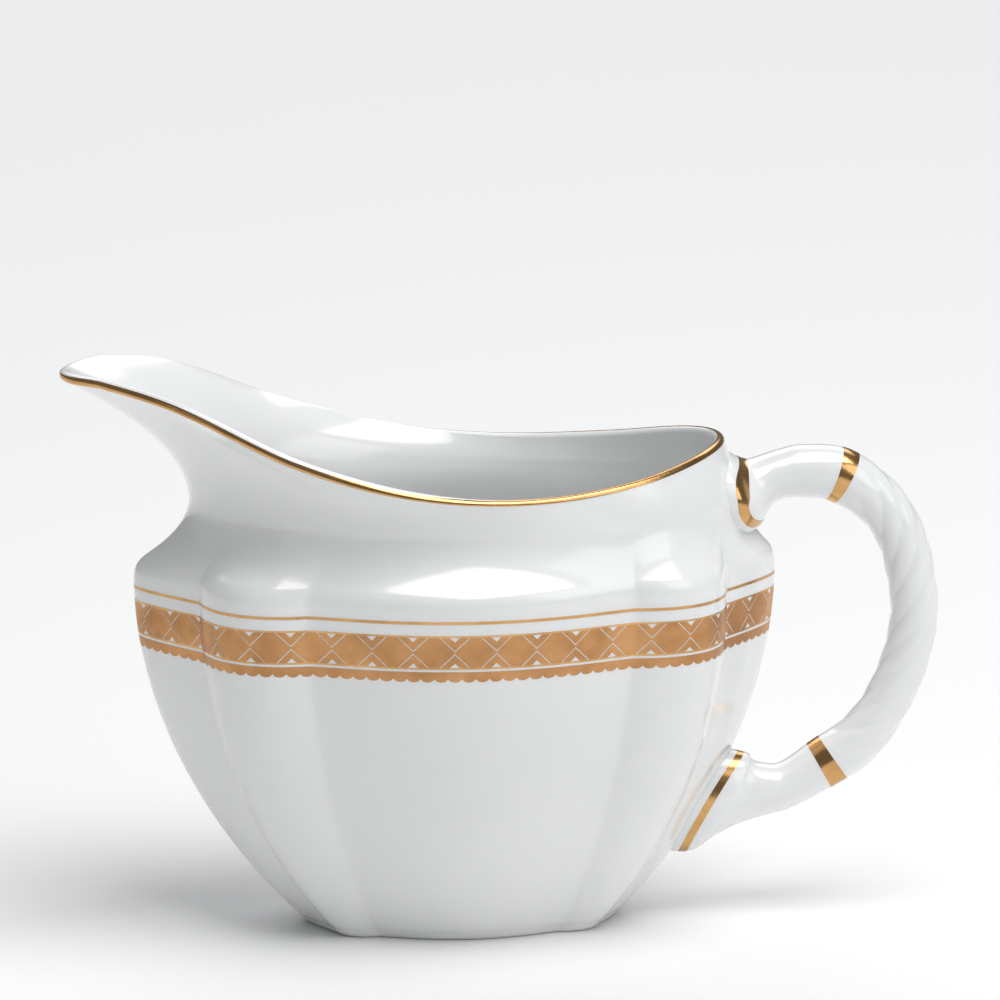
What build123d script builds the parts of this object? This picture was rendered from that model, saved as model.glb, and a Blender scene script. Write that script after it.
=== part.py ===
from build123d import *
import os
from math import atan2, copysign, cos, pi, sin, sqrt

# Porcelain cream jug. Millimetres. +Z up, +X towards the handle, -X towards the spout.
# The origin is the centre of the plane that the foot ring stands on.

os.makedirs("parts", exist_ok=True)

# Body: a fluted oval with eight lobes (front, back, two end lobes, four corner lobes).
SHOULDER_HALF_LENGTH = 56.4
SHOULDER_HALF_WIDTH = 34.8
FOOT_HALF_LENGTH = 27.4
FOOT_SHIFT = 1.0
SHOULDER_Z = 62.5
WALL_PROFILE = [(FOOT_HALF_LENGTH, 0), (43.5, 15.5), (56.2, 38.0), (SHOULDER_HALF_LENGTH, SHOULDER_Z)]
WIDTH_TAPER = 1.06
NECK_CENTRE_X = 1.9
NECK_HALF_LENGTH = 48.5
NECK_HALF_WIDTH = 28.7
NECK_Z = 75.25
WALL = 2.6
LIP = 1.8
FLOOR_Z = 5.5
FLOOR_SHARE = (0.84, 0.78)
RECESS_SHARE = (0.86, 0.8)
FOOT_RECESS = 2.2

# Rim: a saddle that rises to the spout's tip and to the handle, seen from the side.
RIM_SIDE = [(-68.5, 98.4), (-62, 98.7), (-50, 96.1), (-30, 87.5), (-10, 82.2),
            (10, 80.5), (30, 82.0), (47.2, 85.6)]
RIM_WIDEST_X = -12.0
RIM_HALF_WIDTH = 31.2
RIM_BACK = 59.2
RIM_FRONT = 56.5
SPOUT_PINCH = 0.29
ABOVE_RIM_Z = 112.0
RIM_X = (-3.5, 57.85, -7.15)

# Gilding lies on the glaze as thin films.
GILT = 0.12
RIM_LINE = (1.94, 2.5)
SHOULDER_LINE = (61.0, 61.5)
DIAMOND_BAND = (53.0, 59.0)
EDGING = (50.7, 52.55)

# Handle: a C of round section, cast apart and stuck on at two flared roots. A root's sections run
# away from the body or towards it as (outer point, inner point, half breadth), where the inner point
# is on the finger's side.
LOWER_ROOT = [((35.5, 11.4), (45.5, 29.8), 6.6), ((41.3, 10.9), (51.6, 28.4), 6.2),
              ((45.5, 13.4), (52.3, 27.6), 5.4), ((50.0, 15.6), (53.0, 27.0), 4.8),
              ((55.5, 17.2), (54.8, 26.4), 4.6), ((60.0, 18.5), (57.8, 26.5), 4.4)]
GRIP = [(65.8, 26.5, 4.5), (71.2, 30.1, 4.6), (75.9, 36.0, 4.3), (79.6, 44.2, 4.3), (81.3, 52.6, 4.3),
        (80.7, 60.0, 4.4), (78.8, 67.1, 4.4), (74.9, 73.2, 4.6), (67.9, 78.2, 4.9)]
UPPER_ROOT = [((61.5, 83.8), (62.4, 74.3), 4.8), ((57.0, 83.0), (58.5, 74.4), 4.8),
              ((53.4, 81.9), (56.0, 73.4), 5.1), ((51.4, 81.4), (54.8, 71.6), 6.0),
              ((49.6, 82.0), (53.6, 69.8), 7.8), ((47.4, 83.2), (51.4, 68.4), 10.2),
              ((44.4, 84.0), (48.4, 67.4), 10.8)]
UPPER_RING_WIDTH = 2.4
LOWER_RING_WIDTH = 2.9
JOINT_LINE = (1.2, 2.4)
STRANDS = 6
STRAND_LEAD = 36.0
STRAND_RELIEF = 0.25
STRAND_FADE = 4.0

# Resolution of the skins: curves round the jug, heights up the wall, steps from shoulder to rim.
SEGMENTS = 12
POINTS_PER_SEGMENT = 6
WALL_LEVELS = [5.5, 9, 13, 18, 24, 31, 38, 45, *EDGING, *DIAMOND_BAND, *SHOULDER_LINE]
TOP_STATIONS = [0, 0.12, 0.2, 0.3, 0.4, 0.52, 0.66, 0.8, 0.9, 1, 1.15, 1.3, 1.45, 1.6, 1.74, RIM_LINE[0], 2]
LIP_STATIONS = [2.17, 2.33, RIM_LINE[1], 2.67, 2.83]
INSIDE_STATIONS = [2, 1.8, 1.55, 1.3, 1.1, 0.95, 0.8, 0.66, 0.52, 0.4, 0.25, 0.1]
HANDLE_SECTIONS = 96
HANDLE_POINTS = 48


def bezier(points, t):
    s = 1 - t
    weights = (s ** 3, 3 * s * s * t, 3 * s * t * t, t ** 3)
    return tuple(sum(w * p[i] for w, p in zip(weights, points)) for i in range(len(points[0])))


def lobed_point(half_length, half_width, lobe, t, rise):
    """A point on one quarter of the fluted oval. lobe 0 is the end, 1 the corner, 2 the side."""
    groove_x = (0.83 - 0.013 * rise) * half_length
    groove_y = (0.585 - 0.174 * rise) * half_width
    crease_x = (0.507 + 0.07 * (1 - rise) ** 4) * half_length
    crease_y = (0.785 + 0.008 * rise) * half_width
    if lobe == 0:
        outline = [(half_length, 0), (half_length, 0.224 * groove_y),
                   (groove_x + 0.35 * (half_length - groove_x), 0.713 * groove_y), (groove_x, groove_y)]
    elif lobe == 1:
        outline = [(groove_x, groove_y),
                   (groove_x + 0.087 * (crease_x - groove_x), groove_y + 0.82 * (crease_y - groove_y)),
                   (crease_x + 0.437 * (groove_x - crease_x), crease_y + 0.03 * half_width),
                   (crease_x, crease_y)]
    else:
        outline = [(crease_x, crease_y), (0.855 * crease_x, crease_y + 0.12 * (half_width - crease_y)),
                   (0.5 * crease_x, half_width), (0, half_width)]
    return bezier(outline, t)


def rim_half_width(x):
    if x >= RIM_WIDEST_X:
        s = min((x - RIM_WIDEST_X) / RIM_BACK, 1)
        return RIM_HALF_WIDTH * sqrt(1 - s * s)
    s = min((RIM_WIDEST_X - x) / RIM_FRONT, 1)
    return RIM_HALF_WIDTH * sqrt(1 - s * s) * (1 - SPOUT_PINCH * s ** 2.3)


def rim_height(x):
    """The rim's height above the foot: a smooth line through the RIM_SIDE points."""
    places = RIM_SIDE
    slopes = []
    for i in range(len(places)):
        before, after = places[max(i - 1, 0)], places[min(i + 1, len(places) - 1)]
        slopes.append((after[1] - before[1]) / (after[0] - before[0]))
    i = 0
    while i < len(places) - 2 and x > places[i + 1][0]:
        i += 1
    (x0, z0), (x1, z1) = places[i], places[i + 1]
    span = x1 - x0
    t = (x - x0) / span
    return (z0 * (1 + 2 * t) * (1 - t) ** 2 + slopes[i] * span * t * (1 - t) ** 2
            + z1 * t * t * (3 - 2 * t) + slopes[i + 1] * span * t * t * (t - 1))


def neck_to_rim(angle):
    """Four control points of the line that rises from the neck to the rim at this angle."""
    c = cos(angle)
    neck = (NECK_CENTRE_X + NECK_HALF_LENGTH * c, NECK_HALF_WIDTH * sin(angle), NECK_Z + 0.75 * cos(2 * angle))
    x = RIM_X[0] + RIM_X[1] * c + RIM_X[2] * c * c
    rim = (x, copysign(rim_half_width(x), sin(angle)), rim_height(x))
    towards_handle = (0.5 + 0.5 * c) ** 2
    lean = 0.35 * towards_handle
    out = 0.52 + 0.15 * towards_handle
    up = 0.755 - 0.085 * towards_handle
    rise = [r - n for r, n in zip(rim, neck)]
    first = (neck[0] + rise[0] * lean, neck[1] + rise[1] * lean, neck[2] + rise[2] * 0.43)
    second = (neck[0] + rise[0] * out, neck[1] + rise[1] * out, neck[2] + rise[2] * up)
    return [neck, first, second, rim]


SHOULDER_CORNER = [(0, 0), (0, 0.17), (0.06, 0.22), (0.17, 0.29)]
SHOULDER_SLOPE = [(0.17, 0.29), (0.5, 0.45), (0.93, 0.66), (1, 1)]


def skin(u, v):
    """A point on the outer skin. u goes round from 0 to 12, v is -1 at the foot, 0 at the shoulder,
    1 at the neck and 2 at the rim."""
    u = u % SEGMENTS
    quarter = int(u // 3)
    along = u - 3 * quarter
    side_x = 1 if quarter in (0, 3) else -1
    side_y = 1 if quarter < 2 else -1
    if quarter in (1, 3):
        along = 3 - along
    lobe = min(int(along), 2)
    if v < 0:
        half_length, z = bezier(WALL_PROFILE, 1 + v)
        half_width = SHOULDER_HALF_WIDTH * (half_length / SHOULDER_HALF_LENGTH) ** WIDTH_TAPER
        x, y = lobed_point(half_length, half_width, lobe, along - lobe, z / SHOULDER_Z)
        return (side_x * x + FOOT_SHIFT * (1 - z / SHOULDER_Z) ** 2, side_y * y, z)
    x, y = lobed_point(SHOULDER_HALF_LENGTH, SHOULDER_HALF_WIDTH, lobe, along - lobe, 1)
    x, y = side_x * x, side_y * y
    line = neck_to_rim(atan2(y / SHOULDER_HALF_WIDTH, x / SHOULDER_HALF_LENGTH))
    if v > 1:
        return bezier(line, v - 1)
    neck = line[0]
    if v < 0.3:
        towards_neck, height = bezier(SHOULDER_CORNER, v / 0.3)
    else:
        towards_neck, height = bezier(SHOULDER_SLOPE, (v - 0.3) / 0.7)
    return (x + (neck[0] - x) * towards_neck, y + (neck[1] - y) * towards_neck,
            SHOULDER_Z + (neck[2] - SHOULDER_Z) * height)


def offset_skin(u, v, distance, flat=False):
    """The outer skin moved along its normal, or only sideways where flat is true."""
    if v > 1.98:
        v_low, v_high = v - 0.04, v
    elif v < -0.98:
        v_low, v_high = v, v + 0.04
    else:
        v_low, v_high = v - 0.01, v + 0.01
    around = Vector(*skin(u + 0.02, v)) - Vector(*skin(u - 0.02, v))
    upward = Vector(*skin(u, v_high)) - Vector(*skin(u, v_low))
    if flat:
        upward = Vector(0, 0, 1)
    return Vector(*skin(u, v)) + around.cross(upward).normalized() * distance


def ring_wire(place):
    """A closed line round the jug: one curve for each lobe part, so grooves and creases stay crisp."""
    edges = []
    for segment in range(SEGMENTS):
        steps = [segment + i / POINTS_PER_SEGMENT for i in range(POINTS_PER_SEGMENT + 1)]
        edges.append(Edge.make_spline([place(u) for u in steps]))
    return Wire(edges)


def above_rim(u, distance):
    """The skin carried on past the rim to a flat top, to be trimmed away."""
    rim = offset_skin(u, 2, distance)
    below = offset_skin(u, 1.9, distance)
    direction = (rim - below).normalized()
    return rim + direction * ((ABOVE_RIM_Z - rim.Z) / direction.Z)


def wall_station(z):
    """The v of a height on the wall, between -1 at the foot and 0 at the shoulder."""
    low, high = 0.0, 1.0
    for _ in range(40):
        middle = (low + high) / 2
        if bezier(WALL_PROFILE, middle)[1] < z:
            low = middle
        else:
            high = middle
    return low - 1


WALL_STATIONS = [wall_station(z) for z in WALL_LEVELS]


def skin_solid(distance):
    """All that lies inside the outer skin moved out by distance, up to a flat top above the rim."""
    rings = [ring_wire(lambda u: offset_skin(u, -1, distance, flat=True))]
    for v in WALL_STATIONS + TOP_STATIONS:
        rings.append(ring_wire(lambda u, v=v: offset_skin(u, v, distance)))
    rings.append(ring_wire(lambda u: above_rim(u, distance)))
    return Solid.make_loft(rings, ruled=True)


def on_jug(u, station, grow=0.0):
    """A point on the jug moved outwards by grow. Stations up to 2 are the outer skin, from 2 to 3 they
    go over the rounded lip."""
    if station <= 2:
        return offset_skin(u, station, grow)
    outward = (offset_skin(u, 2, 1.0) - Vector(*skin(u, 2))).normalized()
    upward = (Vector(*skin(u, 2)) - Vector(*skin(u, 1.96))).normalized()
    turn = (station - 2) * pi
    middle = offset_skin(u, 2, -LIP / 2)
    return middle + (outward * cos(turn) + upward * sin(turn)) * (LIP / 2 + grow)


def inside_jug(u, v):
    """A point on the inner skin, at the wall's thickness from the outer one."""
    thinning = max(v - 1.3, 0) / 0.7
    return offset_skin(u, v, -WALL - (LIP - WALL) * thinning)


def body_solid():
    """The whole shell: up the outside, over the lip, down the inside and across the floor."""
    rings = [ring_wire(lambda u: offset_skin(u, -1, 0))]
    for station in WALL_STATIONS + TOP_STATIONS + LIP_STATIONS:
        rings.append(ring_wire(lambda u, at=station: on_jug(u, at)))
    for v in INSIDE_STATIONS + WALL_STATIONS[:0:-1]:
        rings.append(ring_wire(lambda u, v=v: inside_jug(u, v)))
    rings.append(ring_wire(floor_point))
    return Solid.make_loft(rings, ruled=True)


def film(stations):
    """A film of gilding round the jug over these stations: its inner face is the jug's own surface."""
    outside = [ring_wire(lambda u, at=at: on_jug(u, at, GILT)) for at in stations]
    inside = [ring_wire(lambda u, at=at: on_jug(u, at)) for at in reversed(stations)]
    rings = outside + inside
    faces = []
    for ring, following in zip(rings, rings[1:] + rings[:1]):
        for lower, upper in zip(ring.edges(), following.edges()):
            faces.append(Face.make_surface_from_curves(lower, upper))
    return Solid(Shell(faces))


def floor_point(u):
    x, y, _ = skin(u, WALL_STATIONS[0])
    return Vector(x * FLOOR_SHARE[0], y * FLOOR_SHARE[1], FLOOR_Z)


def foot_recess():
    """The shallow hollow under the body that leaves a foot ring to stand on."""
    rings = []
    for share, height in ((RECESS_SHARE[0], 0), (RECESS_SHARE[1], FOOT_RECESS)):
        rings.append(ring_wire(lambda u, k=share, z=height: Vector(skin(u, -1)[0] * k, skin(u, -1)[1] * k, z)))
    return Solid.make_loft(rings, ruled=True)


def grip_sections():
    """The grip's sections, square to its line, from its (x, z, radius) points."""
    ends = [[(outer[i] + inner[i]) / 2 for i in range(2)] for outer, inner, _ in (LOWER_ROOT[-1], UPPER_ROOT[0])]
    line = [ends[0], *GRIP, ends[1]]
    sections = []
    for before, (x, z, radius), after in zip(line, GRIP, line[2:]):
        along = Vector(after[0] - before[0], after[1] - before[1]).normalized() * radius
        sections.append(((x + along.Y, z - along.X), (x - along.Y, z + along.X), radius))
    return sections


HANDLE = [(*outer, *inner, breadth) for outer, inner, breadth in LOWER_ROOT + grip_sections() + UPPER_ROOT]
LOWER_RING_AT = len(LOWER_ROOT)
UPPER_RING_AT = len(LOWER_ROOT) + len(GRIP) - 1


def handle_section(place):
    """Outer x and z, inner x and z and half breadth at a place between 0 and the last section's number."""
    i = min(int(place), len(HANDLE) - 2)
    t = place - i
    before, first, second, after = (HANDLE[max(i - 1, 0)], HANDLE[i], HANDLE[i + 1],
                                    HANDLE[min(i + 2, len(HANDLE) - 1)])
    weights = ((-t + 2 * t * t - t ** 3) / 2, (2 - 5 * t * t + 3 * t ** 3) / 2,
               (t + 4 * t * t - 3 * t ** 3) / 2, (t ** 3 - t * t) / 2)
    return [sum(w * p[k] for w, p in zip(weights, (before, first, second, after))) for k in range(5)]


def handle_length(first, last, steps=40):
    """Length of the handle's middle line between two places."""
    length, previous = 0.0, None
    for i in range(steps + 1):
        ox, oz, ix, iz, _ = handle_section(first + (last - first) * i / steps)
        middle = Vector((ox + ix) / 2, 0, (oz + iz) / 2)
        if previous is not None:
            length += (middle - previous).length
        previous = middle
    return length


GRIP_LENGTH = handle_length(LOWER_RING_AT, UPPER_RING_AT, 200)


def strand_depth(place, turn):
    """How far the rope twist of the grip sinks below its crown, none outside the two rings."""
    if not LOWER_RING_AT < place < UPPER_RING_AT:
        return 0
    from_lower = handle_length(LOWER_RING_AT, place)
    from_ring = min(from_lower, GRIP_LENGTH - from_lower)
    strength = min(max((from_ring - UPPER_RING_WIDTH) / STRAND_FADE, 0), 1)
    phase = STRANDS * (turn - from_lower / STRAND_LEAD * 2 * pi)
    return strength * STRAND_RELIEF * (1 - abs(cos(phase / 2)))


def handle_solid(first, last, sections, grow=0.0):
    """The handle between two places, grown outwards by grow."""
    rings = []
    for i in range(sections + 1):
        place = first + (last - first) * i / sections
        ox, oz, ix, iz, half_breadth = handle_section(place)
        middle = Vector((ox + ix) / 2, 0, (oz + iz) / 2)
        outward = Vector(ox - ix, 0, oz - iz) / 2
        half_height = outward.length
        points = []
        for j in range(HANDLE_POINTS):
            turn = 2 * pi * j / HANDLE_POINTS
            shrink = strand_depth(place, turn) - grow
            points.append(middle + outward * ((half_height - shrink) / half_height * cos(turn))
                          + Vector(0, (half_breadth - shrink) * sin(turn), 0))
        rings.append(Edge.make_spline(points, periodic=True))
    faces = [Face.make_surface_from_curves(ring, following) for ring, following in zip(rings, rings[1:])]
    ends = [Face(Wire([rings[0]])), Face(Wire([rings[-1]]))]
    return Solid(Shell(faces + ends))


def handle_ring(centre, width, handle):
    half = width / 2 / handle_length(centre - 0.5, centre + 0.5)
    return handle_solid(centre - half, centre + half, 4, grow=GILT) - handle


def joint_line(first, last, handle):
    """A gold line on a root's flare that follows the body's skin at a small distance."""
    coat = handle_solid(first, last, 16, grow=GILT) - handle
    return coat & (skin_solid(JOINT_LINE[1]) - skin_solid(JOINT_LINE[0]))


body = body_solid() - foot_recess()
handle = handle_solid(0, len(HANDLE) - 1, HANDLE_SECTIONS) - skin_solid(0)

parts = {
    "jug_body": body,
    "handle": handle,
    "rim_gilding": film([station for station in TOP_STATIONS + LIP_STATIONS
                         if RIM_LINE[0] <= station <= RIM_LINE[1]]),
    "shoulder_gilt_line": film([wall_station(z) for z in SHOULDER_LINE]),
    "diamond_band": film([wall_station(z) for z in DIAMOND_BAND]),
    "scalloped_edging": film([wall_station(z) for z in EDGING]),
    "handle_ring_upper": handle_ring(UPPER_RING_AT, UPPER_RING_WIDTH, handle),
    "handle_ring_lower": handle_ring(LOWER_RING_AT, LOWER_RING_WIDTH, handle),
    "handle_joint_line_upper": joint_line(len(HANDLE) - 5, len(HANDLE) - 1, handle),
    "handle_joint_line_lower": joint_line(0, 4, handle),
}

for name, shape in parts.items():
    export_step(shape, f"parts/{name}.step")
    print(name, len(shape.solids()), round(shape.volume, 2), shape.is_valid)
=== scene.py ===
"""A fluted oval porcelain cream jug with gilt bands and a rope-twist handle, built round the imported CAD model.

Shapes are worked out in millimetres, as in the CAD model, and meshes are made in metres."""

from math import cos, pi, radians, sin

import bpy
import numpy as np
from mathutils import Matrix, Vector
from mathutils.bvhtree import BVHTree


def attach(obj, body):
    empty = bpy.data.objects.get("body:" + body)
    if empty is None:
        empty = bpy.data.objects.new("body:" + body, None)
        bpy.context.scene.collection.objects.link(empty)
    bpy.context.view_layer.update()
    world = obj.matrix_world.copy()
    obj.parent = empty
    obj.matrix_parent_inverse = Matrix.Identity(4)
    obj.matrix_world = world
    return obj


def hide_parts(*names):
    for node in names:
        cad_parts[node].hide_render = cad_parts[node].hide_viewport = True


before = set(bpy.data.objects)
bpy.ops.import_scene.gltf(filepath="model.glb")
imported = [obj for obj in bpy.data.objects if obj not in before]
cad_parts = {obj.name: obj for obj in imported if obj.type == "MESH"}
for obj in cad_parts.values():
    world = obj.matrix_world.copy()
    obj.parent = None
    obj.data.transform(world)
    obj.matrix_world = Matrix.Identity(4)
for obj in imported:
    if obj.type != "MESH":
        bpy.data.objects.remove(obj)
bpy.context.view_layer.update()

MM = 0.001
SHARP_ANGLE = 40

# ---------------------------------------------------------------- the jug's driving sizes (mm)
SHOULDER_HALF_LENGTH = 56.4
SHOULDER_HALF_WIDTH = 34.8
FOOT_HALF_LENGTH = 27.4
FOOT_SHIFT = 1.0
SHOULDER_Z = 62.5
WALL_PROFILE = [(FOOT_HALF_LENGTH, 0), (43.5, 15.5), (56.2, 38.0), (SHOULDER_HALF_LENGTH, SHOULDER_Z)]
WIDTH_TAPER = 1.06
NECK_CENTRE_X = 1.9
NECK_HALF_LENGTH = 48.5
NECK_HALF_WIDTH = 28.7
NECK_Z = 75.25
WALL = 2.6
LIP = 1.8
FLOOR_Z = 5.5
FLOOR_EDGE_Z = 9.0
FOOT_RECESS = 2.2

RIM_SIDE = [(-68.5, 98.4), (-62, 98.7), (-50, 96.1), (-30, 87.5), (-10, 82.2),
            (10, 80.5), (30, 82.0), (47.2, 85.6)]
RIM_WIDEST_X = -12.0
RIM_HALF_WIDTH = 31.2
RIM_BACK = 59.2
RIM_FRONT = 56.5
SPOUT_PINCH = 0.29
RIM_X = (-3.5, 57.85, -7.15)

SHOULDER_LINE = (61.0, 61.5)
DIAMOND_BAND = (53.0, 59.0)
EDGING = (50.7, 52.55)

# Gilding is a film that stands GILT above the glaze, with edges that go down FILM_SINK below it.
GILT = 0.04
FILM_SINK = 0.06

SEGMENTS = 12
GROOVE_SOFTNESS = 0.018


# ---------------------------------------------------------------- the jug's surface
def bezier(points, t):
    """Cubic curve through four control numbers, each a number or an array."""
    s = 1 - t
    return s ** 3 * points[0] + 3 * s * s * t * points[1] + 3 * s * t * t * points[2] + t ** 3 * points[3]


def lobed_point(half_length, half_width, u, rise):
    """x and y of the fluted oval. u runs round it from 0 to 12 in twelve lobe parts."""
    u = np.mod(u, SEGMENTS)
    quarter = np.floor(u / 3)
    along = u - 3 * quarter
    side_x = np.where((quarter == 0) | (quarter == 3), 1.0, -1.0)
    side_y = np.where(quarter < 2, 1.0, -1.0)
    along = np.where((quarter == 1) | (quarter == 3), 3 - along, along)
    lobe = np.clip(np.floor(along), 0, 2)
    t = along - lobe
    groove_x = (0.83 - 0.013 * rise) * half_length
    groove_y = (0.585 - 0.174 * rise) * half_width
    crease_x = (0.507 + 0.07 * (1 - rise) ** 4) * half_length
    crease_y = (0.785 + 0.008 * rise) * half_width
    end_x = bezier([half_length, half_length, groove_x + 0.35 * (half_length - groove_x), groove_x], t)
    end_y = bezier([0, 0.224 * groove_y, 0.713 * groove_y, groove_y], t)
    corner_x = bezier([groove_x, groove_x + 0.087 * (crease_x - groove_x),
                       crease_x + 0.437 * (groove_x - crease_x), crease_x], t)
    corner_y = bezier([groove_y, groove_y + 0.82 * (crease_y - groove_y),
                       crease_y + 0.03 * half_width, crease_y], t)
    side_panel_x = bezier([crease_x, 0.855 * crease_x, 0.5 * crease_x, 0], t)
    side_panel_y = bezier([crease_y, crease_y + 0.12 * (half_width - crease_y), half_width, half_width], t)
    x = np.where(lobe == 0, end_x, np.where(lobe == 1, corner_x, side_panel_x))
    y = np.where(lobe == 0, end_y, np.where(lobe == 1, corner_y, side_panel_y))
    return side_x * x, side_y * y


def rim_half_width(x):
    back = np.clip((x - RIM_WIDEST_X) / RIM_BACK, 0, 1)
    front = np.clip((RIM_WIDEST_X - x) / RIM_FRONT, 0, 1)
    pinch = 1 - SPOUT_PINCH * front ** 2.3
    return RIM_HALF_WIDTH * np.where(x >= RIM_WIDEST_X, np.sqrt(1 - back ** 2), np.sqrt(1 - front ** 2) * pinch)


def rim_height(x):
    """The rim's height above the foot: a smooth line through the RIM_SIDE points."""
    xs, zs = (np.array(part, float) for part in zip(*RIM_SIDE))
    slopes = np.empty_like(zs)
    slopes[1:-1] = (zs[2:] - zs[:-2]) / (xs[2:] - xs[:-2])
    slopes[0] = (zs[1] - zs[0]) / (xs[1] - xs[0])
    slopes[-1] = (zs[-1] - zs[-2]) / (xs[-1] - xs[-2])
    i = np.clip(np.searchsorted(xs, x, side="right") - 1, 0, len(xs) - 2)
    span = xs[i + 1] - xs[i]
    t = (x - xs[i]) / span
    return (zs[i] * (1 + 2 * t) * (1 - t) ** 2 + slopes[i] * span * t * (1 - t) ** 2
            + zs[i + 1] * t * t * (3 - 2 * t) + slopes[i + 1] * span * t * t * (t - 1))


CORNER_END = 0.3
SHOULDER_CORNER = [(0, 0), (0, 0.17), (0.06, 0.22), (0.17, 0.29)]
SHOULDER_SLOPE = [(0.17, 0.29), (0.5, 0.45), (0.93, 0.66), (1, 1)]


def sharp_skin(u, v):
    """Points of the outer skin for equal-shaped u and v: v is -1 at the foot, 0 at the shoulder, 1 at
    the neck and 2 at the rim."""
    fall = np.clip(1 + v, 0, 1)
    half_length = bezier([p[0] for p in WALL_PROFILE], fall)
    z = bezier([p[1] for p in WALL_PROFILE], fall)
    half_width = SHOULDER_HALF_WIDTH * (half_length / SHOULDER_HALF_LENGTH) ** WIDTH_TAPER
    rise = z / SHOULDER_Z
    x, y = lobed_point(half_length, half_width, u, rise)
    wall = np.stack([x + FOOT_SHIFT * (1 - rise) ** 2, y, z], -1)

    x, y = lobed_point(SHOULDER_HALF_LENGTH, SHOULDER_HALF_WIDTH, u, 1.0)
    angle = np.arctan2(y / SHOULDER_HALF_WIDTH, x / SHOULDER_HALF_LENGTH)
    c = np.cos(angle)
    neck = np.stack([NECK_CENTRE_X + NECK_HALF_LENGTH * c, NECK_HALF_WIDTH * np.sin(angle),
                     NECK_Z + 0.75 * np.cos(2 * angle)], -1)
    rim_x = RIM_X[0] + RIM_X[1] * c + RIM_X[2] * c * c
    rim = np.stack([rim_x, np.copysign(rim_half_width(rim_x), np.sin(angle)), rim_height(rim_x)], -1)
    towards_handle = ((0.5 + 0.5 * c) ** 2)[..., None]
    chord = rim - neck
    sideways, upwards = np.array([1.0, 1.0, 0.0]), np.array([0.0, 0.0, 1.0])
    first = neck + chord * (sideways * 0.35 * towards_handle + upwards * 0.43)
    second = neck + chord * (sideways * (0.52 + 0.15 * towards_handle)
                             + upwards * (0.755 - 0.085 * towards_handle))
    flare = bezier([neck, first, second, rim], np.clip(v - 1, 0, 1)[..., None])

    corner_t = np.clip(v / CORNER_END, 0, 1)
    slope_t = np.clip((v - CORNER_END) / (1 - CORNER_END), 0, 1)
    inward, height = (np.where(v < CORNER_END, bezier([p[i] for p in SHOULDER_CORNER], corner_t),
                               bezier([p[i] for p in SHOULDER_SLOPE], slope_t)) for i in range(2))
    shoulder = np.stack([x + (neck[..., 0] - x) * inward, y + (neck[..., 1] - y) * inward,
                         SHOULDER_Z + (neck[..., 2] - SHOULDER_Z) * height], -1)
    level = v[..., None]
    return np.where(level < 0, wall, np.where(level <= 1, shoulder, flare))


def skin(u, v):
    """The outer skin with its grooves softened, as glaze fills them."""
    u, v = np.broadcast_arrays(np.asarray(u, float), np.asarray(v, float))
    spread = GROOVE_SOFTNESS
    return (sharp_skin(u - spread, v) + 2 * sharp_skin(u, v) + sharp_skin(u + spread, v)) / 4


def skin_normal(u, v):
    u, v = np.broadcast_arrays(np.asarray(u, float), np.asarray(v, float))
    low, high = np.maximum(v - 0.004, -1), np.minimum(v + 0.004, 2)
    around = skin(u + 0.006, v) - skin(u - 0.006, v)
    upward = skin(u, high) - skin(u, low)
    normal = np.cross(around, upward)
    return normal / np.linalg.norm(normal, axis=-1, keepdims=True)


def wall_station(z):
    """The v of a height, or of an array of heights, on the wall."""
    t = np.linspace(0, 1, 2001)
    return np.interp(z, bezier([p[1] for p in WALL_PROFILE], t), t) - 1


def wall_place(u, z, lift=0.0):
    """A point at height z on the wall, lifted off the glaze by lift."""
    v = wall_station(z)
    return skin(u, v) + skin_normal(u, v) * lift


# ---------------------------------------------------------------- mesh helpers
def mesh_object(name, points, faces, material):
    mesh = bpy.data.meshes.new(name)
    mesh.from_pydata([tuple(p) for p in np.asarray(points) * MM], [], faces)
    mesh.materials.append(material)
    mesh.update()
    mesh.shade_smooth()
    mesh.set_sharp_from_angle(angle=radians(SHARP_ANGLE))
    piece = bpy.data.objects.new(name, mesh)
    bpy.context.scene.collection.objects.link(piece)
    return piece


def tube_faces(rows, columns):
    """Quads between closed rows of points, each row going all the way round."""
    faces = []
    for i in range(rows - 1):
        for j in range(columns):
            k = (j + 1) % columns
            low, high = i * columns, (i + 1) * columns
            faces.append((low + j, low + k, high + k, high + j))
    return faces


def tube(name, rows, material, capped=False):
    """A mesh from closed rows of points. Caps are fans to the middle of the first and the last row."""
    columns = len(rows[0])
    points = np.concatenate(rows)
    faces = tube_faces(len(rows), columns)
    if capped:
        points = np.vstack([points, rows[0].mean(0), rows[-1].mean(0)])
        first_middle, last_middle = len(points) - 2, len(points) - 1
        last = (len(rows) - 1) * columns
        faces += [(first_middle, (j + 1) % columns, j) for j in range(columns)]
        faces += [(last_middle, last + j, last + (j + 1) % columns) for j in range(columns)]
    return mesh_object(name, points, faces, material)


def finish_piece(piece, slot, *nodes):
    """Fixes a piece to the jug, in place of the CAD nodes that it stands for."""
    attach(piece, "root")
    if nodes:
        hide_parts(*nodes)


# ---------------------------------------------------------------- materials
def new_material(name):
    material = bpy.data.materials.new(name)
    material.use_nodes = True
    nodes, links = material.node_tree.nodes, material.node_tree.links
    return material, nodes, links, nodes["Principled BSDF"]


def noise(nodes, links, coordinates, scale, detail=4.0, rough=0.55):
    node = nodes.new("ShaderNodeTexNoise")
    node.inputs["Scale"].default_value = scale
    node.inputs["Detail"].default_value = detail
    node.inputs["Roughness"].default_value = rough
    links.new(coordinates, node.inputs["Vector"])
    return node.outputs["Fac"]


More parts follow.
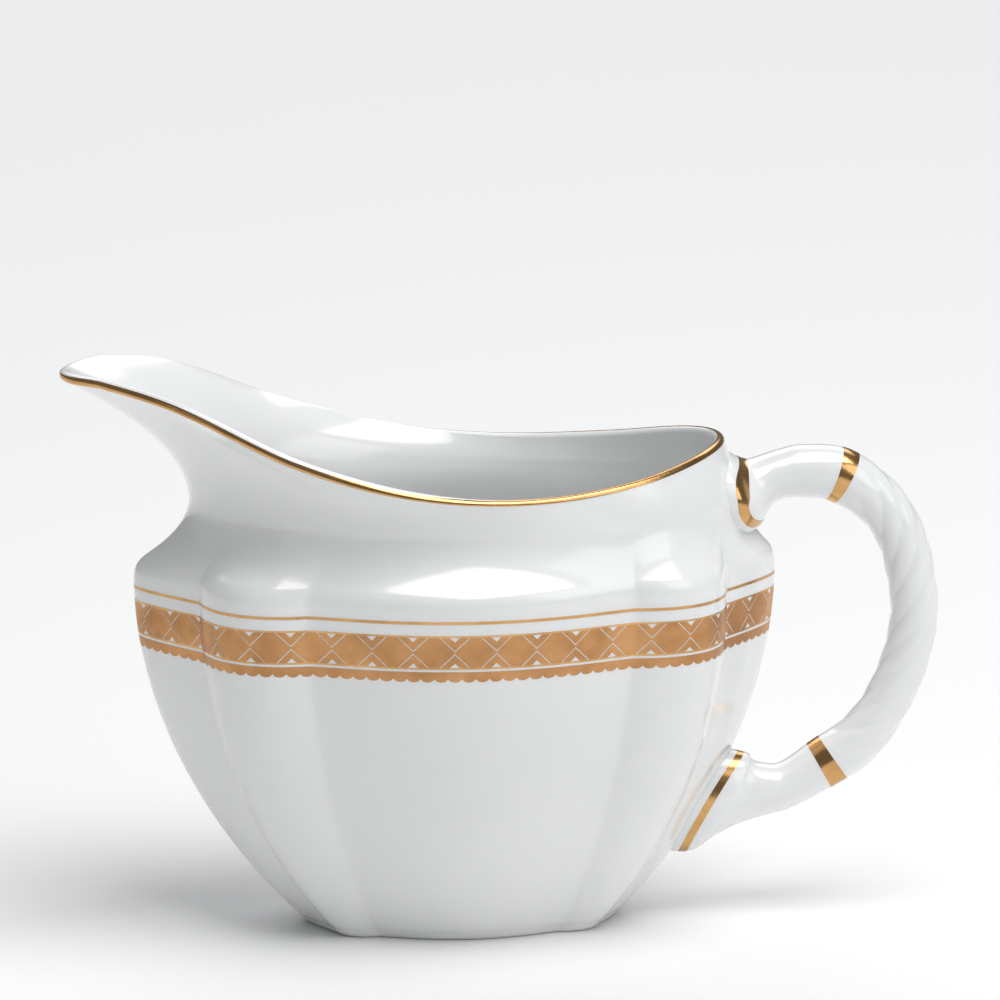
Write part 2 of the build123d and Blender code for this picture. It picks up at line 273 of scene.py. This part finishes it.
def ramp(nodes, links, source, low, high, first, last):
    """A colour or value that goes from first at low to last at high."""
    node = nodes.new("ShaderNodeValToRGB")
    node.color_ramp.elements[0].position = low
    node.color_ramp.elements[1].position = high
    node.color_ramp.elements[0].color = first
    node.color_ramp.elements[1].color = last
    links.new(source, node.inputs["Fac"])
    return node.outputs["Color"]


def scaled(nodes, links, source, low, high):
    node = nodes.new("ShaderNodeMapRange")
    node.inputs["To Min"].default_value = low
    node.inputs["To Max"].default_value = high
    links.new(source, node.inputs["Value"])
    return node.outputs["Result"]


def bump(nodes, links, height, shader, strength, distance):
    node = nodes.new("ShaderNodeBump")
    node.inputs["Strength"].default_value = strength
    node.inputs["Distance"].default_value = distance
    links.new(height, node.inputs["Height"])
    links.new(node.outputs["Normal"], shader.inputs["Normal"])


def porcelain_material():
    """White bone china under a clear glaze: a faint cloudiness, uneven gloss and a soft orange-peel."""
    material, nodes, links, shader = new_material("porcelain")
    coordinates = nodes.new("ShaderNodeTexCoord").outputs["Object"]
    cloud = noise(nodes, links, coordinates, 22.0, 3.0)
    links.new(ramp(nodes, links, cloud, 0.3, 0.7, (0.83, 0.84, 0.845, 1), (0.87, 0.875, 0.87, 1)),
              shader.inputs["Base Color"])
    links.new(scaled(nodes, links, noise(nodes, links, coordinates, 60.0, 2.0), 0.12, 0.2),
              shader.inputs["Roughness"])
    shader.inputs["IOR"].default_value = 1.52
    shader.inputs["Subsurface Weight"].default_value = 0.12
    shader.inputs["Subsurface Radius"].default_value = (0.004, 0.0035, 0.003)
    shader.inputs["Subsurface Scale"].default_value = 0.6
    shader.inputs["Coat Weight"].default_value = 0.5
    shader.inputs["Coat Roughness"].default_value = 0.09
    bump(nodes, links, noise(nodes, links, coordinates, 420.0, 1.0), shader, 0.06, 0.0002)
    return material


def gold_material(name, base, dark, roughness):
    """Burnished gold on glaze, with fine rubbing marks and thinner patches."""
    material, nodes, links, shader = new_material(name)
    coordinates = nodes.new("ShaderNodeTexCoord").outputs["Object"]
    patches = noise(nodes, links, coordinates, 160.0, 5.0)
    links.new(ramp(nodes, links, patches, 0.32, 0.68, dark, base), shader.inputs["Base Color"])
    links.new(scaled(nodes, links, noise(nodes, links, coordinates, 700.0, 3.0), roughness - 0.07,
                     roughness + 0.09), shader.inputs["Roughness"])
    shader.inputs["Metallic"].default_value = 1.0
    bump(nodes, links, noise(nodes, links, coordinates, 1500.0, 3.0), shader, 0.12, 0.0001)
    return material


porcelain = porcelain_material()
bright_gold = gold_material("bright_gold", (0.72, 0.42, 0.17, 1), (0.50, 0.28, 0.11, 1), 0.17)
band_gold = gold_material("band_gold", (0.64, 0.34, 0.15, 1), (0.44, 0.22, 0.09, 1), 0.36)

# ---------------------------------------------------------------- body
STEPS_PER_LOBE = (20, 26, 30)
GROOVE_STEPS = (0.012, 0.028, 0.05, 0.08)


def columns_round():
    """The u of every column: even steps, with finer ones beside each groove."""
    quarter = []
    for lobe, steps in enumerate(STEPS_PER_LOBE):
        quarter += [lobe + i / steps for i in range(steps)]
    quarter += [1 + side * step for step in GROOVE_STEPS for side in (-1, 1)]
    quarter = sorted(set(round(u, 5) for u in quarter))
    mirrored = sorted(6 - u for u in quarter if u > 0)
    half = quarter + [3.0] + mirrored
    other = sorted(12 - u for u in half if u > 0)
    return np.array(sorted(set(round(u, 5) for u in half + [6.0] + other)))


COLUMNS = columns_round()
FOOT_LEVELS = [0.5, 0.8, 1.1, 1.4, 1.7, 2.0, 2.4]
WALL_LEVELS = np.arange(3.2, SHOULDER_Z - 0.1, 1.15)
WALL_ROWS = np.concatenate([wall_station(np.array(FOOT_LEVELS)), wall_station(WALL_LEVELS)])
UPPER_ROWS = np.concatenate([np.linspace(0, CORNER_END, 10), np.linspace(CORNER_END, 1, 22)[1:],
                             np.linspace(1, 2, 34)[1:]])
OUTSIDE_ROWS = np.concatenate([WALL_ROWS, UPPER_ROWS])
INSIDE_ROWS = np.concatenate([UPPER_ROWS[::-2], WALL_ROWS[:len(FOOT_LEVELS) - 1:-2]])

# A faint groove runs round just above the foot's edge.
MOULDING_Z = 1.4
MOULDING_WIDTH = 0.3
MOULDING_DEPTH = 0.22
MOULDING_BELOW = -0.9

# (share of the way out to the foot's edge, z) up out of the recess and onto the foot ring
FOOT_PROFILE = [(0.35, FOOT_RECESS), (0.62, FOOT_RECESS), (0.76, FOOT_RECESS), (0.81, 2.0), (0.835, 1.5),
                (0.85, 0.8), (0.865, 0.25), (0.885, 0.03), (0.93, 0.0)]
FOOT_EDGE = 0.45
FOOT_WIDTH_SHARE = 0.985
FOOT_EDGE_TURN = 0.35

# (share of the way out to the inner wall, z) from the wall onto the floor
FLOOR_PROFILE = [(0.93, 7.4), (0.86, 6.4), (0.77, 5.8), (0.65, FLOOR_Z), (0.4, FLOOR_Z), (0.15, FLOOR_Z)]

LIP_STEPS = 13
THINNING_FROM = 1.3


def outside_row(v):
    """A row of the outer skin, with the groove above the foot pressed in."""
    row = skin(COLUMNS, v)
    z = row[:, 2:3]
    normal = skin_normal(COLUMNS, v)
    normal[:, 2] = 0
    dent = MOULDING_DEPTH * np.exp(-((z - MOULDING_Z) / MOULDING_WIDTH) ** 2) if v < MOULDING_BELOW else 0
    return row - normal * dent


def lip_rows(grow, turns):
    """Rows over the rounded lip, from 0 at its outer side to 1 at its inner side."""
    rim, normal = skin(COLUMNS, 2.0), skin_normal(COLUMNS, 2.0)
    upward = rim - skin(COLUMNS, 1.98)
    upward /= np.linalg.norm(upward, axis=1, keepdims=True)
    middle = rim - normal * LIP / 2
    return [middle + (normal * cos(turn * pi) + upward * sin(turn * pi)) * (LIP / 2 + grow) for turn in turns]


def inside_row(v):
    thinning = max(v - THINNING_FROM, 0) / 0.7
    return skin(COLUMNS, v) - skin_normal(COLUMNS, v) * (WALL + (LIP - WALL) * thinning)


def foot_rows():
    """The underside: the ring that the jug stands on, the recess inside it and its flat roof."""
    foot = skin(COLUMNS, -1.0)
    centre = np.array([FOOT_SHIFT, 0, 0])
    rows = []
    for share, z in FOOT_PROFILE:
        row = centre + (foot - centre) * np.array([share, share * FOOT_WIDTH_SHARE, 0])
        row[:, 2] = z
        rows.append(row)
    inset = skin_normal(COLUMNS, -1.0)
    inset[:, 2] = 0
    rows.append(foot - inset * FOOT_EDGE)
    turn = FOOT_EDGE * FOOT_EDGE_TURN
    rows.append(skin(COLUMNS, wall_station(turn)) - inset * turn)
    return rows


def floor_rows():
    """From the bottom of the inner wall across the floor, rounded where they meet."""
    last = inside_row(wall_station(FLOOR_EDGE_Z))
    rows = []
    for share, z in FLOOR_PROFILE:
        row = last * np.array([share, share, 0])
        row[:, 2] = z
        rows.append(row)
    return rows


def build_body():
    rows = foot_rows()
    rows += [outside_row(v) for v in OUTSIDE_ROWS]
    rows += lip_rows(0.0, np.linspace(0, 1, LIP_STEPS)[1:-1])
    rows += [inside_row(v) for v in INSIDE_ROWS if v > wall_station(FLOOR_EDGE_Z)]
    rows += floor_rows()
    finish_piece(tube("jug_body_porcelain", rows, porcelain, capped=True), "porcelain", "jug_body")


build_body()

# ---------------------------------------------------------------- handle
LOWER_ROOT = [((35.5, 11.4), (45.5, 29.8), 6.6), ((41.3, 10.9), (51.6, 28.4), 6.2),
              ((45.5, 13.4), (52.3, 27.6), 5.4), ((50.0, 15.6), (53.0, 27.0), 4.8),
              ((55.5, 17.2), (54.8, 26.4), 4.6), ((60.0, 18.5), (57.8, 26.5), 4.4)]
GRIP = [(65.8, 26.5, 4.5), (71.2, 30.1, 4.6), (75.9, 36.0, 4.3), (79.6, 44.2, 4.3), (81.3, 52.6, 4.3),
        (80.7, 60.0, 4.4), (78.8, 67.1, 4.4), (74.9, 73.2, 4.6), (67.9, 78.2, 4.9)]
UPPER_ROOT = [((61.5, 83.8), (62.4, 74.3), 4.8), ((57.0, 83.0), (58.5, 74.4), 4.8),
              ((53.4, 81.9), (56.0, 73.4), 5.1), ((51.4, 81.4), (54.8, 71.6), 6.0),
              ((49.6, 82.0), (53.6, 69.8), 7.8), ((47.4, 83.2), (51.4, 68.4), 10.2),
              ((44.4, 84.0), (48.4, 67.4), 10.8)]
UPPER_RING_WIDTH = 2.4
LOWER_RING_WIDTH = 2.9
JOINT_LINE = (1.2, 2.4)
STRANDS = 6
STRAND_LEAD = 36.0
STRAND_RELIEF = 0.25
STRAND_FADE = 4.0
STRAND_CROWN = 0.05
HANDLE_POINTS = 96


def grip_sections():
    """The grip's sections, square to its line, from its (x, z, radius) points."""
    ends = [[(outer[i] + inner[i]) / 2 for i in range(2)]
            for outer, inner, _ in (LOWER_ROOT[-1], UPPER_ROOT[0])]
    line = [ends[0], *GRIP, ends[1]]
    sections = []
    for before, (x, z, radius), after in zip(line, GRIP, line[2:]):
        along = Vector((after[0] - before[0], after[1] - before[1])).normalized() * radius
        sections.append(((x + along.y, z - along.x), (x - along.y, z + along.x), radius))
    return sections


HANDLE = np.array([(*outer, *inner, breadth) for outer, inner, breadth in
                   LOWER_ROOT + grip_sections() + UPPER_ROOT])
LOWER_RING_AT = len(LOWER_ROOT)
UPPER_RING_AT = len(LOWER_ROOT) + len(GRIP) - 1


def handle_section(place):
    """Outer x and z, inner x and z and half breadth at places between 0 and the last section's number."""
    place = np.asarray(place, float)
    i = np.clip(place.astype(int), 0, len(HANDLE) - 2)
    t = (place - i)[..., None]
    last = len(HANDLE) - 1
    before, first, second, after = (HANDLE[np.maximum(i - 1, 0)], HANDLE[i], HANDLE[i + 1],
                                    HANDLE[np.minimum(i + 2, last)])
    return ((-t + 2 * t * t - t ** 3) * before + (2 - 5 * t * t + 3 * t ** 3) * first
            + (t + 4 * t * t - 3 * t ** 3) * second + (t ** 3 - t * t) * after) / 2


PLACES = np.linspace(0, len(HANDLE) - 1, 2001)


def distances_along(points):
    """How far each point lies along the line through them all."""
    return np.concatenate([[0], np.cumsum(np.linalg.norm(np.diff(points, axis=0), axis=1))])


ARC = distances_along((handle_section(PLACES)[:, :2] + handle_section(PLACES)[:, 2:4]) / 2)
LOWER_RING_ARC, UPPER_RING_ARC = np.interp([LOWER_RING_AT, UPPER_RING_AT], PLACES, ARC)
TURNS = np.arange(HANDLE_POINTS) / HANDLE_POINTS * 2 * pi


def handle_row(arc, grow=0.0):
    """A closed row of points round the handle, grown outwards by grow. arc is one distance along the
    handle, or one for each of the row's points."""
    arc = np.broadcast_to(arc, TURNS.shape)
    section = handle_section(np.interp(arc, ARC, PLACES))
    zero = np.zeros_like(arc)
    middle = np.stack([section[:, 0] + section[:, 2], zero, section[:, 1] + section[:, 3]], 1) / 2
    outward = np.stack([section[:, 0] - section[:, 2], zero, section[:, 1] - section[:, 3]], 1) / 2
    half_height = np.linalg.norm(outward, axis=1)
    from_ring = np.minimum(arc - LOWER_RING_ARC, UPPER_RING_ARC - arc)
    strength = np.clip((from_ring - UPPER_RING_WIDTH) / STRAND_FADE, 0, 1)
    phase = STRANDS * (TURNS - (arc - LOWER_RING_ARC) / STRAND_LEAD * 2 * pi)
    shrink = strength * (STRAND_CROWN + STRAND_RELIEF * (1 - np.abs(np.cos(phase / 2)))) - grow
    row = middle + outward * ((half_height - shrink) / half_height * np.cos(TURNS))[:, None]
    row[:, 1] += (section[:, 4] - shrink) * np.sin(TURNS)
    return row


def outer_skin_tree():
    """A search tree of the body's outer skin."""
    rows = np.array([skin(COLUMNS, v) for v in OUTSIDE_ROWS])
    faces = tube_faces(len(rows), len(COLUMNS))
    return BVHTree.FromPolygons([Vector(p) for p in rows.reshape(-1, 3)], faces)


SKIN_TREE = outer_skin_tree()


def height_off_skin(points):
    """How far each point stands off the body's outer skin, less than 0 inside it."""
    heights = []
    for point in points:
        near, normal, _, distance = SKIN_TREE.find_nearest(Vector(point))
        heights.append(distance if (Vector(point) - near).dot(normal) > 0 else -distance)
    return np.array(heights)


def root_table(ring_arc, end_arc, steps=110):
    """Distances from a ring to its root's end, and how far the handle stands off the body at each."""
    arcs = np.linspace(ring_arc, end_arc, steps)
    return arcs, np.array([height_off_skin(handle_row(arc)) for arc in arcs])


def arcs_at_height(table, height):
    """For each point round the handle, where it comes down to this height above the body's skin."""
    arcs, heights = table
    found = []
    for column in heights.T:
        below = np.flatnonzero(column <= height)
        i = max(below[0], 1) if len(below) else len(arcs) - 1
        share = (column[i - 1] - height) / max(column[i - 1] - column[i], 1e-9)
        found.append(arcs[i - 1] + (arcs[i] - arcs[i - 1]) * min(max(share, 0), 1))
    return np.array(found)


LOWER_TABLE = root_table(LOWER_RING_ARC, 0.0)
UPPER_TABLE = root_table(UPPER_RING_ARC, ARC[-1])
ROOT_DEPTH = -1.0
ROOT_STEPS = 44
GRIP_STEPS = 230
FILM_STEPS = 9


def build_handle():
    """The grip and its two roots. Each root ends a little way inside the body's wall."""
    lower, upper = arcs_at_height(LOWER_TABLE, ROOT_DEPTH), arcs_at_height(UPPER_TABLE, ROOT_DEPTH)
    shares = np.linspace(0, 1, ROOT_STEPS)
    rows = [handle_row(lower + (LOWER_RING_ARC - lower) * share) for share in shares[:-1]]
    rows += [handle_row(arc) for arc in np.linspace(LOWER_RING_ARC, UPPER_RING_ARC, GRIP_STEPS)]
    rows += [handle_row(UPPER_RING_ARC + (upper - UPPER_RING_ARC) * share) for share in shares[1:]]
    finish_piece(tube("handle_porcelain", rows, porcelain), "porcelain", "handle")


build_handle()


def band_film(name, node, first, last):
    """A gold band painted round the handle between two distances, each one number or one per point."""
    steps = [first + (last - first) * share for share in np.linspace(0, 1, FILM_STEPS)]
    rows = [handle_row(steps[0], -FILM_SINK)] + [handle_row(step, GILT) for step in steps]
    rows.append(handle_row(steps[-1], -FILM_SINK))
    finish_piece(tube(name, rows, bright_gold), "gilding", node)


for end, ring_arc, width, table in (("lower", LOWER_RING_ARC, LOWER_RING_WIDTH, LOWER_TABLE),
                                    ("upper", UPPER_RING_ARC, UPPER_RING_WIDTH, UPPER_TABLE)):
    band_film(f"handle_ring_{end}_gold", f"handle_ring_{end}", ring_arc - width / 2, ring_arc + width / 2)
    band_film(f"handle_joint_line_{end}_gold", f"handle_joint_line_{end}",
              arcs_at_height(table, JOINT_LINE[0]), arcs_at_height(table, JOINT_LINE[1]))


# ---------------------------------------------------------------- gilding on the body
RIM_GILT_DEPTH = 0.12
RIM_GILT_TURN = 0.52


def below_rim(distance):
    """The v of each column at a distance in mm below the rim's outer edge."""
    step = 0.02
    speed = np.linalg.norm(skin(COLUMNS, 2.0) - skin(COLUMNS, 2.0 - step), axis=1) / step
    return 2 - distance / speed


def rim_gilding():
    stations = [below_rim(RIM_GILT_DEPTH * share) for share in (1, 0.66, 0.33)]
    rows = [skin(COLUMNS, stations[0]) - skin_normal(COLUMNS, stations[0]) * FILM_SINK]
    rows += [skin(COLUMNS, v) + skin_normal(COLUMNS, v) * GILT for v in stations]
    rows += lip_rows(GILT, np.linspace(0, RIM_GILT_TURN, 8))
    rows += lip_rows(-FILM_SINK, [RIM_GILT_TURN])
    finish_piece(tube("rim_gilding_gold", rows, bright_gold), "gilding", "rim_gilding")


rim_gilding()

ROUND = np.linspace(0, SEGMENTS, 4801)
BAND_MIDDLE = sum(DIAMOND_BAND) / 2
ROUND_ARC = distances_along(wall_place(ROUND, BAND_MIDDLE))
GIRTH = ROUND_ARC[-1]


def strips(name, parts, material):
    """One mesh of film strips. Each part is (distances round the jug, lower edge z, upper edge z, number
    of rows between the edges)."""
    points, faces = [], []
    for distances, low, high, rows in parts:
        u = np.interp(np.mod(distances, GIRTH), ROUND_ARC, ROUND)
        levels = [low + (high - low) * k / rows for k in range(rows + 1)]
        layers = [wall_place(u, levels[0], -FILM_SINK)] + [wall_place(u, level, GILT) for level in levels]
        layers.append(wall_place(u, levels[-1], -FILM_SINK))
        offset, columns = len(points), len(distances)
        for layer in layers:
            points.extend(layer)
        for i in range(len(layers) - 1):
            for j in range(columns - 1):
                a = offset + i * columns + j
                faces.append((a, a + 1, a + 1 + columns, a + columns))
    return mesh_object(name, points, faces, material)


LINE_COLUMNS = 900
full_line = np.ones(LINE_COLUMNS)
shoulder_line = (np.linspace(0, GIRTH, LINE_COLUMNS), full_line * SHOULDER_LINE[0],
                 full_line * SHOULDER_LINE[1], 2)
finish_piece(strips("shoulder_line_gold", [shoulder_line], bright_gold), "gilding", "shoulder_gilt_line")

REPEATS = 40
PITCH = GIRTH / REPEATS
FIRST_CROSSING = PITCH / 2
BORDER = 0.3
CROSSING_REACH = 2.7
CROSSING_GAP = 0.24
LOZENGE_NECK = 0.12
CHEVRON_WIDTH = 1.5
BORDER_COLUMNS = 1200
SCALLOPS_PER_REPEAT = 3
SCALLOP_DEPTH = 0.62
SCALLOP_FULLNESS = 0.6
SCALLOP_COLUMNS = 8


def border_parts():
    """The thin lines along both edges of the diamond band."""
    low, high = DIAMOND_BAND
    distances = np.linspace(0, GIRTH, BORDER_COLUMNS)
    full = np.ones_like(distances)
    return [(distances, full * low, full * (low + BORDER), 1),
            (distances, full * (high - BORDER), full * high, 1)]


def diamond_parts():
    """A row of lozenges joined at their points, with a chevron above and below each joint."""
    middle = BAND_MIDDLE
    half = (DIAMOND_BAND[1] - DIAMOND_BAND[0]) / 2 - BORDER
    slope = (half - LOZENGE_NECK) / CROSSING_REACH
    parts = []
    for repeat in range(REPEATS):
        start = FIRST_CROSSING + repeat * PITCH
        s = np.concatenate([np.linspace(0, CROSSING_REACH, 9),
                            np.linspace(CROSSING_REACH, PITCH - CROSSING_REACH, 5)[1:-1],
                            np.linspace(PITCH - CROSSING_REACH, PITCH, 9)])
        reach = np.minimum(LOZENGE_NECK + slope * np.minimum(s, PITCH - s), half)
        parts.append((start + s, middle - reach, middle + reach, 4))
        span = np.linspace(-1, 1, 15) * (CROSSING_REACH - CROSSING_GAP / slope)
        valley = LOZENGE_NECK + CROSSING_GAP + slope * np.abs(span)
        roof = np.clip(valley + CHEVRON_WIDTH, valley, half)
        parts.append((start + span, middle + valley, middle + roof, 2))
        parts.append((start + span, middle - roof, middle - valley, 2))
    return parts


finish_piece(strips("diamond_band_gold", diamond_parts(), band_gold), "gilding", "diamond_band")
finish_piece(strips("diamond_band_borders_gold", border_parts(), bright_gold), "gilding")


def scalloped_edging():
    """A narrow band whose lower edge hangs in small scallops, three to a lozenge."""
    low, high = EDGING
    count = REPEATS * SCALLOPS_PER_REPEAT
    distances = np.linspace(0, GIRTH, count * SCALLOP_COLUMNS + 1)
    hang = np.abs(np.sin(distances / GIRTH * count * pi)) ** SCALLOP_FULLNESS
    lower = low + SCALLOP_DEPTH - SCALLOP_DEPTH * hang
    piece = strips("scalloped_edging_gold", [(distances, lower, np.full_like(lower, high), 2)], band_gold)
    finish_piece(piece, "gilding", "scalloped_edging")


scalloped_edging()

# ---------------------------------------------------------------- floor, light and camera
PALE = (0.93, 0.93, 0.93, 1)


def floor():
    bpy.ops.mesh.primitive_plane_add(size=12, location=(0, 0, 0))
    plane = bpy.context.object
    plane.name = "floor"
    material, _, _, shader = new_material("floor_paper")
    shader.inputs["Base Color"].default_value = PALE
    shader.inputs["Roughness"].default_value = 0.7
    plane.data.materials.append(material)


def area_light(name, place, target, size, power):
    data = bpy.data.lights.new(name, "AREA")
    data.shape = "RECTANGLE"
    data.size, data.size_y = size
    data.energy = power
    light = bpy.data.objects.new(name, data)
    light.location = place
    light.rotation_euler = (Vector(target) - Vector(place)).to_track_quat("-Z", "Y").to_euler()
    bpy.context.scene.collection.objects.link(light)


floor()
area_light("key", (0.85, -0.75, 0.65), (0, 0, 0.05), (0.7, 0.8), 2.8)
area_light("top", (0.3, -0.35, 1.45), (0, 0.05, 0.0), (1.2, 1.0), 17.5)
area_light("background", (0, 2.4, 1.8), (0, 2.4, 0), (3.0, 2.4), 40)
area_light("fill", (-0.9, -0.8, 0.45), (0, 0, 0.05), (0.3, 0.6), 0.15)

world = bpy.data.worlds.new("studio")
world.use_nodes = True
world.node_tree.nodes["Background"].inputs["Color"].default_value = (0.94, 0.97, 1.0, 1)
world.node_tree.nodes["Background"].inputs["Strength"].default_value = 0.2
bpy.context.scene.world = world
bpy.context.scene.view_settings.view_transform = "Standard"

VIEW_ELEVATION = radians(12.4)
VIEW_AZIMUTH = radians(-6.1)
VIEW_DISTANCE = 1.5
FRAME_WIDTH = 0.1755
AIM_HEIGHT = 0.05
AIM_RIGHT, AIM_UP = 0.00781, 0.02469

camera_data = bpy.data.cameras.new("camera")
camera_data.sensor_width = 36
camera_data.lens = 36 * VIEW_DISTANCE / FRAME_WIDTH
camera_data.clip_end = 20
camera = bpy.data.objects.new("camera", camera_data)
back = Vector((sin(VIEW_AZIMUTH) * cos(VIEW_ELEVATION), -cos(VIEW_AZIMUTH) * cos(VIEW_ELEVATION),
               sin(VIEW_ELEVATION)))
right = Vector((cos(VIEW_AZIMUTH), sin(VIEW_AZIMUTH), 0))
aim = Vector((0, 0, AIM_HEIGHT)) + right * AIM_RIGHT + back.cross(right) * AIM_UP
camera.location = aim + back * VIEW_DISTANCE
camera.rotation_euler = (-back).to_track_quat("-Z", "Y").to_euler()
bpy.context.scene.collection.objects.link(camera)
bpy.context.scene.camera = camera
